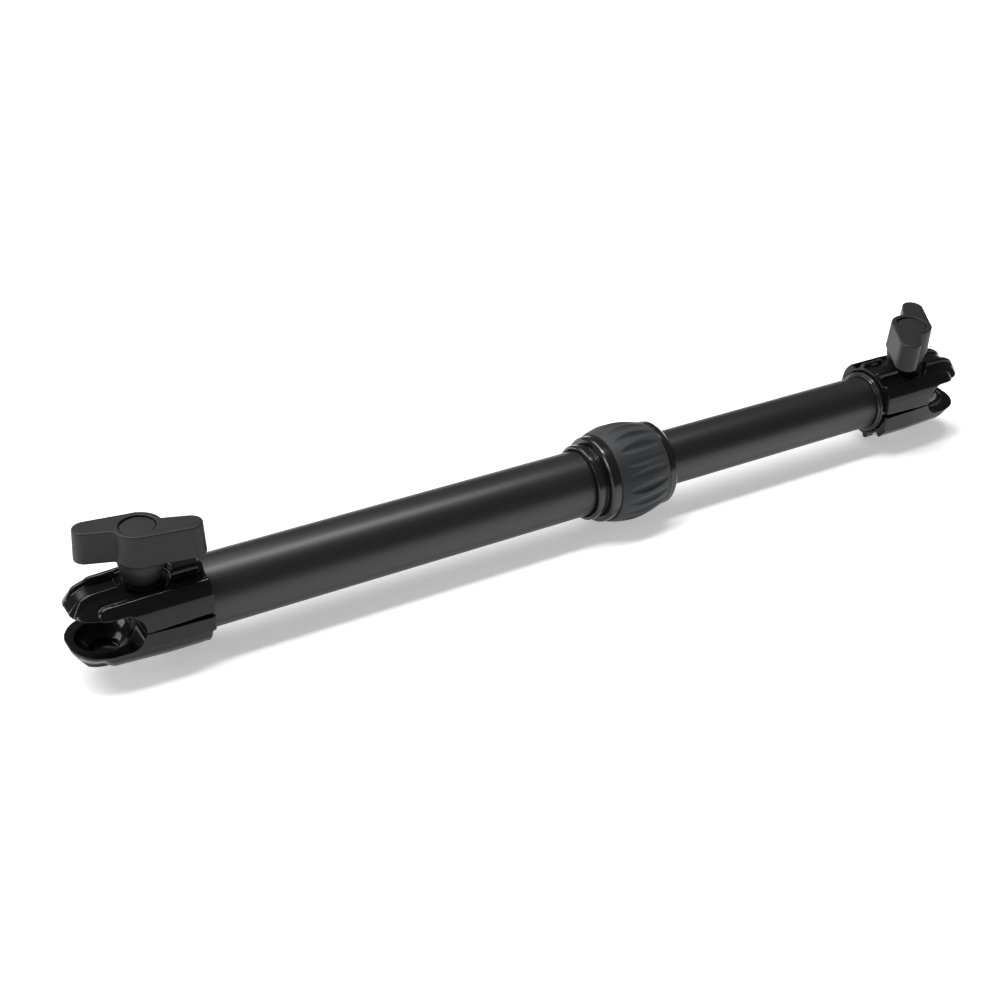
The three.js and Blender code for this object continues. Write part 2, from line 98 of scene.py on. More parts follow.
# %% The expression class
class Value:
    """A number that a node tree works out at every point of a surface or a space."""

    def __init__(self, graph, socket):
        self.graph = graph
        self.socket = socket

    def run(self, operation, *others):
        return self.graph.node("ShaderNodeMath", {"operation": operation}, self, *others)[0]

    def __add__(self, other): return self.run("ADD", other)
    def __radd__(self, other): return self.run("ADD", other)
    def __sub__(self, other): return self.run("SUBTRACT", other)
    def __rsub__(self, other): return self.graph.number(other).run("SUBTRACT", self)
    def __mul__(self, other): return self.run("MULTIPLY", other)
    def __rmul__(self, other): return self.run("MULTIPLY", other)
    def __truediv__(self, other): return self.run("DIVIDE", other)
    def __rtruediv__(self, other): return self.graph.number(other).run("DIVIDE", self)
    def __neg__(self): return self.run("MULTIPLY", -1.0)
    def __pow__(self, other): return self.run("POWER", other)
    def __abs__(self): return self.run("ABSOLUTE")

    def low(self, other): return self.run("MINIMUM", other)
    def high(self, other): return self.run("MAXIMUM", other)
    def soft_low(self, other, reach): return self.run("SMOOTH_MIN", other, reach)
    def soft_high(self, other, reach): return self.run("SMOOTH_MAX", other, reach)
    def sqrt(self): return self.run("SQRT")

    def ramp(self, start, end, out_start=0.0, out_end=1.0):
        return self.graph.node("ShaderNodeMapRange", {"clamp": True}, self, start, end,
                               out_start, out_end)[0]


class Outputs:
    """The outputs of one node, by number or by name."""

    def __init__(self, graph, node):
        self.graph = graph
        self.node = node

    def __getitem__(self, key):
        return Value(self.graph, self.node.outputs[key])


class Graph:
    """A node tree while it is being built."""

    def __init__(self, tree):
        self.tree = tree

    def node(self, kind, settings=None, *values, **named):
        made = self.tree.nodes.new(kind)
        for name, setting in (settings or {}).items():
            setattr(made, name, setting)
        plugs = list(enumerate(values)) + [(k.replace("_", " "), v) for k, v in named.items()]
        for key, value in plugs:
            if isinstance(value, Value):
                self.tree.links.new(value.socket, made.inputs[key])
            elif value is not None:
                made.inputs[key].default_value = value
        return Outputs(self, made)

    def number(self, value):
        return self.node("ShaderNodeMath", {"operation": "ADD"}, value, 0.0)[0]

    def apart(self, vector):
        parts = self.node("ShaderNodeSeparateXYZ", None, vector)
        return parts[0], parts[1], parts[2]


print("expression class ready")

# %% [markdown]
# ## Growing a shape from a distance rule
# A die-cast clamp has flutes, ridges, a round mouth and a ball seat that all melt into each
# other with small round edges. Cutting those with booleans leaves sharp edges and broken
# faces. A distance rule does it in one go: at every point in space it says how far the
# point is from the casting, negative inside. Taking the larger of two distances cuts one
# shape by another, the smaller joins them, and the soft versions round the edge on the
# way. Volume Cube samples the rule on a fine lattice, and Volume to Mesh lays the skin.

# %% Trees, and the one that turns a distance rule into a mesh
SLOPE_PROBE, FURTHEST_SLIDE, LEAST_STEEPNESS = 0.04, 0.3, 0.1
SKIN_DENSITY, DENSITY_SLOPE = 1.0, 0.1


def start_tree(name, labels):
    """A new Geometry Nodes tree with a named input for each size, and its input node."""
    tree = bpy.data.node_groups.new(name, "GeometryNodeTree")
    tree.interface.new_socket("Geometry", in_out="INPUT", socket_type="NodeSocketGeometry")
    tree.interface.new_socket("Geometry", in_out="OUTPUT", socket_type="NodeSocketGeometry")
    tree.interface.new_socket("Material", in_out="INPUT", socket_type="NodeSocketMaterial")
    for label in labels:
        tree.interface.new_socket(label, in_out="INPUT", socket_type="NodeSocketFloat")
    graph = Graph(tree)
    return graph, graph.node("NodeGroupInput")


def end_tree(graph, given, geometry):
    """Close a tree with real faces that wear the given material."""
    whole = graph.node("GeometryNodeRealizeInstances", None, geometry)
    painted = graph.node("GeometryNodeSetMaterial", None, whole[0], Material=given["Material"])
    graph.node("NodeGroupOutput", None, painted[0])
    return graph.tree


def carve(name, rule, inputs, low, high, voxel):
    """The skin of rule(x, y, z, sizes) <= 0 inside a box; all of it in millimetres."""
    graph, given = start_tree(name, inputs)
    sizes = {label: given[label] for label in inputs}

    def distance_at(shift_x, shift_y, shift_z):
        x, y, z = graph.apart(graph.node("GeometryNodeInputPosition")[0])
        return rule(x / MM + shift_x, y / MM + shift_y, z / MM + shift_z, sizes)

    cells = [int((b - a) / voxel) + 1 for a, b in zip(low, high)]
    density = SKIN_DENSITY - distance_at(0, 0, 0) * DENSITY_SLOPE
    lattice = graph.node("GeometryNodeVolumeCube", None, density, 0.0,
                         [a * MM for a in low], [b * MM for b in high], *cells)
    skin = graph.node("GeometryNodeVolumeToMesh", {"resolution_mode": "GRID"}, lattice[0],
                      Threshold=SKIN_DENSITY)
    # The lattice leaves faint waves, so each vertex slides down the slope of the rule to zero.
    here = distance_at(0, 0, 0)
    slope = [(distance_at(*(SLOPE_PROBE * (axis == k) for k in range(3))) - here) / SLOPE_PROBE
             for axis in range(3)]
    steepness = slope[0] * slope[0] + slope[1] * slope[1] + slope[2] * slope[2]
    slide = here * -1.0 / steepness.high(LEAST_STEEPNESS)
    slide = slide.low(FURTHEST_SLIDE).high(-FURTHEST_SLIDE) * MM
    shift = graph.node("ShaderNodeCombineXYZ", None, *(slide * part for part in slope))
    settled = graph.node("GeometryNodeSetPosition", None, Geometry=skin[0], Offset=shift[0])
    return end_tree(graph, given, settled[0])


def grown(name, tree, inputs, material, seed=None):
    """The mesh that a tree makes with these values for its named inputs."""
    holder = bpy.data.objects.new(name, seed or bpy.data.meshes.new(name + "_seed"))
    bpy.context.scene.collection.objects.link(holder)
    modifier = holder.modifiers.new("Grow", "NODES")
    modifier.node_group = tree
    values = dict(inputs, Material=material)
    for item in tree.interface.items_tree:
        if item.in_out == "INPUT" and item.name in values:
            modifier[item.identifier] = values[item.name]
    depsgraph = bpy.context.evaluated_depsgraph_get()
    mesh = bpy.data.meshes.new_from_object(holder.evaluated_get(depsgraph), depsgraph=depsgraph)
    bpy.data.objects.remove(holder)
    print(name, "has", len(mesh.polygons), "faces")
    return mesh


def piece(name, mesh, body, slot, stands_for, place=None, crease=None):
    """A finished object: at the origin, its place in its mesh, riding on a body."""
    mesh = mesh.copy()
    mesh.name = name
    if place is not None:
        mesh.transform(place)
    mesh.polygons.foreach_set("use_smooth", [True] * len(mesh.polygons))
    if crease is not None:
        mesh.set_sharp_from_angle(angle=math.radians(crease))
    mesh.materials.clear()
    mesh.materials.append(SLOT_FINISH[slot])
    made = bpy.data.objects.new(name, mesh)
    bpy.context.scene.collection.objects.link(made)
    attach(made, body)
    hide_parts(*stands_for)
    print(name, "rides on", body)


# %% [markdown]
# ## Finishes
# Nearly everything here is black, so the finishes differ by gloss and texture, not colour.
# Every finish reads Object coordinates, which stay put on a piece when it moves. Numbers
# that are the same all over sit on the shader itself. Only roughness, colour and the bump
# vary.

# %% The finish helper
def finish(name, paint=None, colour=None, **shader):
    """A Principled finish; paint(graph) gives what varies over the surface."""
    material = bpy.data.materials.new(name)
    material.use_nodes = True
    material.node_tree.nodes.clear()
    graph = Graph(material.node_tree)
    links = {key.replace("_", " "): value for key, value in shader.items()}
    if colour:
        links["Base Color"] = (*colour, 1.0)
    if paint:
        links.update(paint(graph))
    bsdf = graph.node("ShaderNodeBsdfPrincipled")
    for key, value in links.items():
        if isinstance(value, Value):
            graph.tree.links.new(value.socket, bsdf.node.inputs[key])
        else:
            bsdf.node.inputs[key].default_value = value
    out = graph.node("ShaderNodeOutputMaterial")
    graph.tree.links.new(bsdf.node.outputs[0], out.node.inputs[0])
    return material


def noise(graph, scale, detail, stretch=None):
    """Noise of so many grains to the metre, from -0.5 to 0.5."""
    where = graph.node("ShaderNodeTexCoord")["Object"]
    if stretch:
        where = graph.node("ShaderNodeMapping", None, where, Scale=stretch)[0]
    return graph.node("ShaderNodeTexNoise", None, where, Scale=scale, Detail=detail)[0] - 0.5


def bumped(graph, height, depth_mm):
    """A Bump node for a height of 1 that stands depth_mm proud."""
    return graph.node("ShaderNodeBump", None, Strength=1.0, Height=height,
                      Distance=depth_mm * MM)[0]


def mixed(graph, amount, colour_a, colour_b):
    """A colour that goes from colour_a to colour_b as the amount goes from 0 to 1."""
    mix = graph.node("ShaderNodeMix", {"data_type": "RGBA"}, amount)
    colours = {"A": (*colour_a, 1.0), "B": (*colour_b, 1.0)}
    for socket in mix.node.inputs:
        if socket.type == "RGBA":
            socket.default_value = colours[socket.name]
    return Value(graph, next(o for o in mix.node.outputs if o.type == "RGBA"))


# %% [markdown]
# ### Gloss paint on the castings
# The clamps are die castings under a glossy black paint. Such paint is never perfectly
# level: it has a slow orange peel, and a few fine specks of dust dry into it.

# %% Gloss paint
def casting_paint(graph):
    peel = noise(graph, 260.0, 1.0)
    cast = noise(graph, 70.0, 2.0)
    dust = noise(graph, 1900.0, 0.0).ramp(0.24, 0.30)
    return {
        "Roughness": 0.13 + cast * 0.05 + dust * 0.15,
        "Normal": bumped(graph, peel + cast * 1.4 + dust * 0.12, 0.012),
    }


CASTING = finish("gloss_black_paint", casting_paint, (0.005, 0.005, 0.0055),
                 Specular_IOR_Level=0.28)

# %% [markdown]
# ### Powder coat on the tubes
# The tubes wear a satin powder coat. The powder melts into low soft bumps about half a
# millimetre apart, which spread each highlight into a broad band.

# %% Satin powder coat
def tube_coat(graph):
    grain = noise(graph, 1500.0, 2.0)
    slow = noise(graph, 35.0, 2.0, stretch=(0.3, 1.0, 1.0))
    return {
        "Roughness": 0.38 + slow * 0.06 + grain * 0.05,
        "Base Color": mixed(graph, slow + 0.5, (0.0085, 0.0085, 0.009), (0.0125, 0.0125, 0.013)),
        "Normal": bumped(graph, grain, 0.018),
    }


COAT = finish("satin_powder_coat", tube_coat, Specular_IOR_Level=0.5)

# %% [markdown]
# ### Moulded plastic of the collar rings
# The collar's rings are turned from a hard semi-gloss plastic. The tool leaves very fine
# rings round the bar, so the noise is stretched thin along X.

# %% Ring plastic
def ring_plastic(graph):
    turning = noise(graph, 1200.0, 1.0, stretch=(1.0, 0.04, 0.04))
    scuff = noise(graph, 90.0, 3.0)
    return {
        "Roughness": 0.20 + scuff * 0.08 + turning * 0.04,
        "Normal": bumped(graph, turning, 0.002),
    }


RING = finish("ring_plastic", ring_plastic, (0.008, 0.008, 0.0085))

# %% [markdown]
# ### Rubber of the grip
# The barrel is a soft rubber, bluish grey beside the rings, with no clear reflections. A
# fine grain comes from its mould, and its grey clouds a little from place to place.

# %% Grip rubber
def grip_rubber(graph):
    grain = noise(graph, 2400.0, 2.0)
    bloom = noise(graph, 60.0, 3.0)
    return {
        "Roughness": 0.62 + bloom * 0.12,
        "Base Color": mixed(graph, bloom + 0.5, (0.010, 0.011, 0.0135), (0.015, 0.016, 0.019)),
        "Normal": bumped(graph, grain, 0.03),
    }


RUBBER = finish("grip_rubber", grip_rubber, Specular_IOR_Level=0.4, Sheen_Weight=0.15,
                Sheen_Roughness=0.5)

# %% [markdown]
# ### Textured plastic of the knobs
# The knobs are moulded in a tool etched with a fine matte texture, so they look almost grey
# where light falls flat on them. The texture is rubbed slightly smoother in patches.

# %% Knob plastic
def knob_plastic(graph):
    spark = noise(graph, 2600.0, 2.0)
    worn = noise(graph, 45.0, 2.0)
    return {
        "Roughness": 0.52 + worn * 0.08,
        "Base Color": mixed(graph, worn + 0.5, (0.008, 0.008, 0.0083), (0.012, 0.012, 0.0124)),
        "Normal": bumped(graph, spark, 0.035),
    }


KNOB = finish("knob_plastic", knob_plastic, Specular_IOR_Level=0.35)

# %% [markdown]
# ### Metals and hidden plastics
# The screws are zinc-plated steel, a pale metal with a cloudy surface, and the washers are
# the same steel painted near black, as painted shade for the pocket under each knob. The
# knob's threaded insert is brass. The plugs, bushes and collet are black acetal, which slides well and has a waxy
# shine.

# %% Metals and acetal
def plating(graph):
    cloud = noise(graph, 420.0, 3.0)
    return {"Roughness": 0.30 + cloud * 0.14, "Normal": bumped(graph, cloud, 0.006)}


def brass_turning(graph):
    turning = noise(graph, 900.0, 1.0, stretch=(0.1, 0.1, 1.0))
    return {"Roughness": 0.28 + turning * 0.12, "Normal": bumped(graph, turning, 0.005)}


def acetal_skin(graph):
    flow = noise(graph, 150.0, 2.0)
    return {"Roughness": 0.42 + flow * 0.1, "Normal": bumped(graph, flow, 0.01)}


STEEL = finish("zinc_plated_steel", plating, (0.52, 0.53, 0.55), Metallic=1.0)
# The washers' near-black colour is painted shade for the pocket under each knob.
WASHER_PAINTED_SHADE = finish("washer_steel_painted_shade", plating, (0.03, 0.03, 0.032), Metallic=0.6)
BRASS = finish("brass", brass_turning, (0.62, 0.42, 0.16), Metallic=1.0)
ACETAL = finish("black_acetal", acetal_skin, (0.018, 0.018, 0.019))
SLOT_FINISH = {"tube": COAT, "jaw": CASTING, "collar": RING, "grip_rubber": RUBBER,
               "knob": KNOB, "bush_plastic": ACETAL, "steel": STEEL, "brass": BRASS}
print("finishes", sorted(SLOT_FINISH))

# %% [markdown]
# ## The clamp jaws
# Each clamp is two castings that meet at a split along the bar. The rule below works on one
# of them: x runs from the ball socket to the tube, `out` is how far a point is from the
# split and `side` tells the upper jaw (+1) from the lower (-1). From outside in it has a
# side wall that leans inwards, a shoulder ridge with a small flat top, a wide flute, and two
# sharp ridges with a channel between them. Over the nose the wall and the shoulder follow
# an ellipse while the two ridges run straight on to the lip.

# %% Outside of a jaw
# Corners of the section, each (distance from the middle plane, distance from the split).
WALL_FOOT, WALL_KNEE, WALL_TOP, SHOULDER_FOOT = (25.7, 6.0), (24.8, 13.0), (22.8, 16.9), (19.9, 20.6)
SHOULDER_OUTER, SHOULDER_INNER, FLUTE_FOOT = (19.6, 21.0), (17.6, 21.5), (16.4, 20.6)
FLUTE_END, RISE_END = (12.0, 22.6), (10.0, 24.4)
RIDGE_OUTER, RIDGE_INNER, CHANNEL_FOOT = (9.2, 26.6), (6.2, 26.6), (5.6, 24.6)
CHANNEL_OUT, RIDGE_OUT = 24.4, 26.95

# Over the nose: where it starts, how far it reaches and how its plan and tops fall away.
SECTION_WIDTH = 25.7
NOSE_START, NOSE_REACH, NOSE_CURVE = 2.0, 23.9, 2.3
RIDGE_FALL, SHOULDER_FALL, FALL_END = 26.0, 13.5, 0.999
TAPER_START, TAPER_END = 32.0, 4.0


def plane(a, out, from_point, to_point):
    """Distance outside a straight line of the section, walked with the solid on its left."""
    (a0, h0), (a1, h1) = from_point, to_point
    length = math.hypot(a1 - a0, h1 - h0)
    normal_a, normal_h = (h1 - h0) / length, -(a1 - a0) / length
    return a * normal_a + out * normal_h - (a0 * normal_a + h0 * normal_h)


def jaw_outside(x, y, out, ridge_end):
    """Distance outside a jaw's outer form, before its hollows are cut."""
    across = abs(y) / (1.0 - x.ramp(TAPER_START, TAPER_END, 0.0, 0.03))
    front = (NOSE_START - x).high(0.0)
    h = out / (1.0 - x.ramp(TAPER_START, TAPER_END, 0.0, 0.05))
    dip = (1.0 - (front / RIDGE_FALL).low(FALL_END) ** 2.5).sqrt()
    early_dip = (1.0 - (front / SHOULDER_FALL).low(FALL_END) ** 2.0).sqrt()
    nose = front * (SECTION_WIDTH / NOSE_REACH)
    ring = (across ** NOSE_CURVE + nose ** NOSE_CURVE) ** (1 / NOSE_CURVE)
    wall = (ring - SECTION_WIDTH).soft_high(plane(ring, h, WALL_FOOT, WALL_KNEE), 2.0)

    def flank(height, reach):
        upper_wall = wall.soft_high(plane(ring, height, WALL_KNEE, WALL_TOP), 1.5)
        return upper_wall.soft_high(plane(ring, height, WALL_TOP, SHOULDER_FOOT), reach)

    # Shoulder ridge, which drops early and ends beside the ball.
    low = h / early_dip
    top = plane(ring, low, SHOULDER_OUTER, SHOULDER_INNER)
    shoulder = flank(low, 0.5).soft_high(top, 0.7)
    shoulder = shoulder.soft_high(plane(ring, low, SHOULDER_INNER, FLUTE_FOOT), 0.7)
    shoulder = shoulder.soft_high(x - ridge_end, 0.6)

    # Wide flute, then the two ridges, which run on to the lip.
    high = h / dip
    side = flank(h, 4.0)
    flute = plane(across, high, FLUTE_FOOT, FLUTE_END)
    rise = plane(across, high, FLUTE_END, RISE_END)
    hollow = flute.soft_high(rise, 3.0).high(high - CHANNEL_OUT)
    middle = side.soft_high(hollow, 0.6 + front * 0.2)
    ridge = plane(across, high, RISE_END, RIDGE_OUTER).soft_high(high - RIDGE_OUT, 0.9)
    ridge = ridge.soft_high(plane(across, high, RIDGE_INNER, CHANNEL_FOOT), 0.7)
    ridge = ridge.high(side).high(-h)
    return middle.soft_low(shoulder, 0.9).soft_low(ridge, 1.2) * (0.35 + dip * 0.65)


# %% [markdown]
# The hollows come next. The mouth is a slot across the clamp with a round inner end, the
# ball sits in a spherical cup, and the split opens a little towards the rear. Behind the
# knob the flutes are sunk into deep flat-bottomed channels.

# %% Hollows of a jaw
REAR_X, LEAD_IN_X, TUBE_STOP_X, TUBE_SEAT_R = 60.0, 59.2, 46.0, 22.525
RELIEF_R, RELIEF_OUT = 8.5, 20.55
SPLIT_GAP, SPLIT_X, SPLIT_LENGTH = 0.2, 20.5, 40.5
SPRING_SEAT_R, SPRING_SEAT_OUT, SPRING_SWING = 6.8, 10.0, 2.8
BOLT_SLOT_R, BOLT_SWING, BOLT_HOLE_R = 4.6, 1.8, 4.3
POCKET_OUT = 19.5
CHANNEL_X, CHANNEL_HALF_LENGTH, CHANNEL_Y, CHANNEL_HALF_WIDTH = 48.5, 8.5, 13.7, 3.7
CHANNEL_FLOOR_R = 24.0
HEX_HALF_FLATS, HEX_OUT = 6.8, 19.7
SCREW_X, SCREW_HOLE_R, SCREW_HOLE_DOWN, SCREW_SEAT_R, SCREW_SEAT_DOWN = 54.0, 2.5, 15.0, 4.4, 24.4
SCREW_LEAN = math.radians(36.0)
HEX_TURN = math.radians(60.0)


def round_hole(x, y, radius):
    """Distance outside a round hole."""
    return (x * x + y * y).sqrt() - radius


def long_hole(x, y, radius, length):
    """Distance outside a hole that runs on along x for some length."""
    past = x - x.high(0.0).low(length)
    return (past * past + y * y).sqrt() - radius


def jaw_rule(side, slit_rear):
    """The distance rule of the upper (+1) or lower (-1) jaw."""
    def rule(x, y, z, sizes):
        out = z * side
        across = abs(y)
        body = jaw_outside(x, y, out, sizes["Ridge end"])

        # Rear face with a rounded edge, then the bore for the tube with its chamfer.
        body = body.soft_high(x - REAR_X, 1.2)
        spoke = (y * y + z * z).sqrt()
        bore = (spoke - TUBE_SEAT_R).soft_high(TUBE_STOP_X - x, 0.3)
        bore = bore.low(spoke - TUBE_SEAT_R - (x - LEAD_IN_X))
        body = body.soft_high(-bore, 0.5)

        # Mouth and ball cup.
        inward = (x - sizes["Mouth centre x"]).high(0.0)
        lift = z - sizes["Mouth centre z"]
        mouth = (inward * inward + lift * lift).sqrt() - sizes["Mouth radius"]
        body = body.soft_high(-mouth, 0.7)
        ball = (x * x + y * y + z * z).sqrt() - sizes["Cup radius"]
        relief = round_hole(x, y, RELIEF_R).high(out - RELIEF_OUT)
        body = body.soft_high(-ball, 0.7).soft_high(-relief, 0.5)

        # Split face.
        slit = SPLIT_GAP + (x - SPLIT_X).high(0.0) * ((slit_rear - SPLIT_GAP) / SPLIT_LENGTH)
        body = body.soft_high(slit - out, 0.5)

        # Spring seat and the way through for the clamp bolt.
        along = x - KNOB_X
        if side > 0:
            spring_seat = long_hole(along, y, SPRING_SEAT_R, SPRING_SWING)
            body = body.soft_high(-long_hole(along, y, BOLT_SLOT_R, BOLT_SWING), 0.3)
            body = body.soft_high(-spring_seat.high(out - SPRING_SEAT_OUT), 0.3)
            pocket = round_hole(along, y, sizes["Pocket radius"]).high(POCKET_OUT - out)
            beyond_x = abs(x - CHANNEL_X) - CHANNEL_HALF_LENGTH
            beyond_y = abs(across - CHANNEL_Y) - CHANNEL_HALF_WIDTH
            sunk = beyond_x.soft_high(beyond_y, 1.6).soft_high(CHANNEL_FLOOR_R - spoke, 0.6)
            body = body.soft_high(-pocket, 1.0).soft_high(-sunk, 0.8)
        else:
            spring_seat = round_hole(along, y, SPRING_SEAT_R)
            body = body.soft_high(-round_hole(along, y, BOLT_HOLE_R), 0.3)
            body = body.soft_high(-spring_seat.high(out - SPRING_SEAT_OUT), 0.3)
            # The bolt's head sits in a hexagon.
            turned_x, turned_y = along * math.cos(HEX_TURN), y * math.sin(HEX_TURN)
            flats = abs(along).high(abs(turned_x + turned_y)).high(abs(turned_x - turned_y))
            hexagon = (flats - HEX_HALF_FLATS).soft_high(HEX_OUT - out, 0.4)
            body = body.soft_high(-hexagon, 0.4)
            # Two leaning screws hold the jaw on the tube.
            beside = across * math.cos(SCREW_LEAN) + z * math.sin(SCREW_LEAN)
            down = across * math.sin(SCREW_LEAN) - z * math.cos(SCREW_LEAN)
            screw_hole = round_hole(x - SCREW_X, beside, SCREW_HOLE_R)
            seat = round_hole(x - SCREW_X, beside, SCREW_SEAT_R)
            body = body.soft_high(-screw_hole.high(SCREW_HOLE_DOWN - down), 0.2)
            body = body.soft_high(-seat.high(SCREW_SEAT_DOWN - down), 0.3)
        return body

    return rule


MOUTH_BOTTOM, MOUTH_TOP, MOUTH_END = -9.8, 13.4, 18.5
mouth_radius = (MOUTH_TOP - MOUTH_BOTTOM) / 2
JAW_SIZES = {
    "Mouth centre x": MOUTH_END - mouth_radius,
    "Mouth centre z": (MOUTH_TOP + MOUTH_BOTTOM) / 2,
    "Mouth radius": mouth_radius,
    "Cup radius": 19.25,
    "Pocket radius": 16.5,
}
VOXEL = 0.56
BEYOND_SPLIT, BEYOND_TOP = 0.6, 28.0
for jaw, side, slit_rear, ridge_end in (("upper", 1, 1.8, 60.5), ("lower", -1, 1.2, 57.6)):
    heights = sorted((-BEYOND_SPLIT * side, BEYOND_TOP * side))
    sizes = dict(JAW_SIZES, **{"Ridge end": ridge_end})
    tree = carve(f"{jaw}_jaw", jaw_rule(side, slit_rear), sizes,
                 (-24.0, -27.0, heights[0]), (61.5, 27.0, heights[1]), VOXEL)
    casting = grown(f"{jaw}_jaw", tree, sizes, CASTING)
    for end, place in PLACE.items():
        body = f"{end}_upper_jaw" if side > 0 else BODY[end]
        piece(f"{end}_{jaw}_casting", casting, body, "jaw", [f"{end}_{jaw}_jaw"], place)

# %% [markdown]
# ## Turned pieces
# Tubes and rings are round about the bar, so each is a profile turned about X. Real turned
# edges are never knife sharp, and a sharp edge gives no highlight. The helper rounds every
# corner of a profile by its own small radius before it turns it.

# %% Turning a profile about the bar
SHORTEST_EDGE = 1e-7
LONGEST_ROUND = 0.45


def rounded(corners, steps=5):
    """The points of a closed profile, from corners of [x, radius from the axis, rounding]."""
    points = []
    count = len(corners)
    for k, (x, r, rounding) in enumerate(corners):
        here = Vector((x, r))
        before = Vector(corners[k - 1][:2]) - here
        after = Vector(corners[(k + 1) % count][:2]) - here
        if rounding <= 0:
            points.append(here)
            continue
        half = before.angle(after) / 2
        shorter = min(before.length, after.length)
        reach = min(rounding / math.tan(half), LONGEST_ROUND * shorter)
        start = here + before.normalized() * reach
        end = here + after.normalized() * reach
        for i in range(steps + 1):
            t = i / steps
            points.append(start * (1 - t) ** 2 + here * (2 * t * (1 - t)) + end * t ** 2)
    return points


def turned(name, corners, segments=128):
    """A closed profile turned about X; millimetres."""
    mesh = bpy.data.meshes.new(name)
    made = bmesh.new()
    rings = []
    for along, radius in rounded(corners):
        ring = []
        for i in range(segments):
            turn = 2 * math.pi * i / segments
            spot = Vector((along, radius * math.cos(turn), radius * math.sin(turn)))
            ring.append(made.verts.new(spot * MM))
        rings.append(ring)
    for k, ring in enumerate(rings):
        other = rings[(k + 1) % len(rings)]
        for i in range(segments):
            j = (i + 1) % segments
            made.faces.new((ring[i], other[i], other[j], ring[j]))
    bmesh.ops.remove_doubles(made, verts=made.verts, dist=SHORTEST_EDGE)
    bmesh.ops.dissolve_degenerate(made, edges=made.edges, dist=SHORTEST_EDGE)
    bmesh.ops.recalc_face_normals(made, faces=made.faces)
    made.to_mesh(mesh)
    made.free()
    return mesh


# %% [markdown]
# ## The two tubes
# The outer tube is the thicker one, and the inner one slides in it. Both are drawn tube
# with a 2 mm wall. Only their ends need care: the saw cut is broken by a small round.

# %% Tubes
OUTER_R, INNER_R, WALL = 22.225, 19.05, 2.0
EDGE_CREASE = 40

for body, radius in (("outer", OUTER_R), ("inner", INNER_R)):
    low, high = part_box(f"{body}_tube")
    start, end = low.x / MM, high.x / MM
    corners = [(start, radius - WALL, 0.3), (start, radius, 0.4), (end, radius, 0.4),
               (end, radius - WALL, 0.3)]
    name = f"{body}_tube_coated"
    piece(name, turned(name, corners), body, "tube", [f"{body}_tube"], crease=EDGE_CREASE)

# %% [markdown]
# ## The twist collar
# A ring with a stepped lip is fixed on the outer tube's end. Behind a dark gap turns the
# spool, with a bright-edged ring at each end and the rubber barrel between them. Turning it
# squeezes a split collet on the inner tube.

# %% Collar rings
LIP_R, RING_R, END_RING_R, SPOOL_R, THREAD_R = 25.6, 29.4, 29.0, 26.6, 24.8
COLLAR_START, GRIP_START, GRIP_END, COLLAR_END = 328.0, 343.8, 383.0, 390.5
THREAD_END, CONE_START, CONE_END, CONE_R = 355.0, 362.4, 364.0, 24.3
GAP = 0.3
bore = OUTER_R + GAP
neck_start = COLLAR_START + 8.0
fixed_ring = [
    (COLLAR_START, bore + 0.9, 0.3), (COLLAR_START, LIP_R - 0.9, 0.5),
    (COLLAR_START + 0.9, LIP_R, 0.5), (COLLAR_START + 4.4, LIP_R, 0.5),
    (COLLAR_START + 5.2, LIP_R - 1.6, 0.3), (neck_start, LIP_R - 1.6, 0.2),
    (neck_start, THREAD_R - GAP, 0.1), (THREAD_END, THREAD_R - GAP, 0.3),
    (THREAD_END, bore, 0.2), (COLLAR_START + 2.0, bore, 0.2),
]
piece("fixed_collar_ring", turned("fixed_collar_ring", fixed_ring), "outer", "collar",
      ["collar_base"], crease=EDGE_CREASE)

sleeve_bore = THREAD_R + GAP
ring_start = COLLAR_START + 8.6
spool = [
    (ring_start, sleeve_bore, 0.3), (ring_start, RING_R - 1.9, 0.5),
    (ring_start + 0.8, RING_R - 0.5, 0.5), (ring_start + 1.9, RING_R - 0.1, 0.5),
    (ring_start + 2.3, RING_R - 0.1, 0.1), (GRIP_START - 0.35, RING_R, 0.35),
    (GRIP_START - 0.35, SPOOL_R, 0.1), (GRIP_END + 0.35, SPOOL_R, 0.1),
    (GRIP_END + 0.35, END_RING_R, 0.35), (COLLAR_END - 2.7, END_RING_R - 0.05, 0.5),
    (COLLAR_END - 0.3, END_RING_R - 2.2, 0.4), (COLLAR_END, END_RING_R - 2.9, 0.3),
    (COLLAR_END, 21.6, 0.4), (COLLAR_END - 0.6, 21.2, 0.3), (COLLAR_END - 6.4, 21.2, 0.1),
    (COLLAR_END - 6.4, 22.3, 0.1), (COLLAR_END - 8.0, 22.3, 0.1),
    (CONE_END, CONE_R, 0.3), (CONE_START, sleeve_bore, 0.3),
]
piece("collar_spool", turned("collar_spool", spool), "collar_sleeve", "collar",
      ["twist_sleeve"], crease=EDGE_CREASE)

wiper = [
    (COLLAR_END - 5.8, INNER_R + 1.5, 0.2), (COLLAR_END - 5.8, 20.9, 0.3),
    (COLLAR_END - 0.7, 20.9, 0.4), (COLLAR_END - 0.7, INNER_R + 0.9, 0.2),
    (COLLAR_END - 1.8, INNER_R + 0.35, 0.2), (COLLAR_END - 3.0, INNER_R + 1.2, 0.4),
]
piece("wiper_lip", turned("wiper_lip", wiper), "collar_sleeve", "grip_rubber",
      ["wiper_seal"], crease=EDGE_CREASE)

# %% [markdown]
# ## The rubber barrel
# The barrel swells nearer its left end and carries 22 shallow flutes. Each is the shape
# that a round cutter leaves: a lens with two pointed ends. They lean a little, like a slow
# screw. A plain barrel is turned first, and a Geometry Nodes tree presses the flutes in.

# %% Grip
BARREL_START_R, BARREL_END_R, BARREL_BULGE, BULGE_SHIFT = 30.3, 29.1, 3.55, 0.88
BARREL_INSIDE_R = 28.4
FLUTES = {"Count": 22.0, "Depth": 1.7, "Lean": -0.12, "Centre": 365.0, "Half length": 18.0,
          "Narrowness": 7.0}


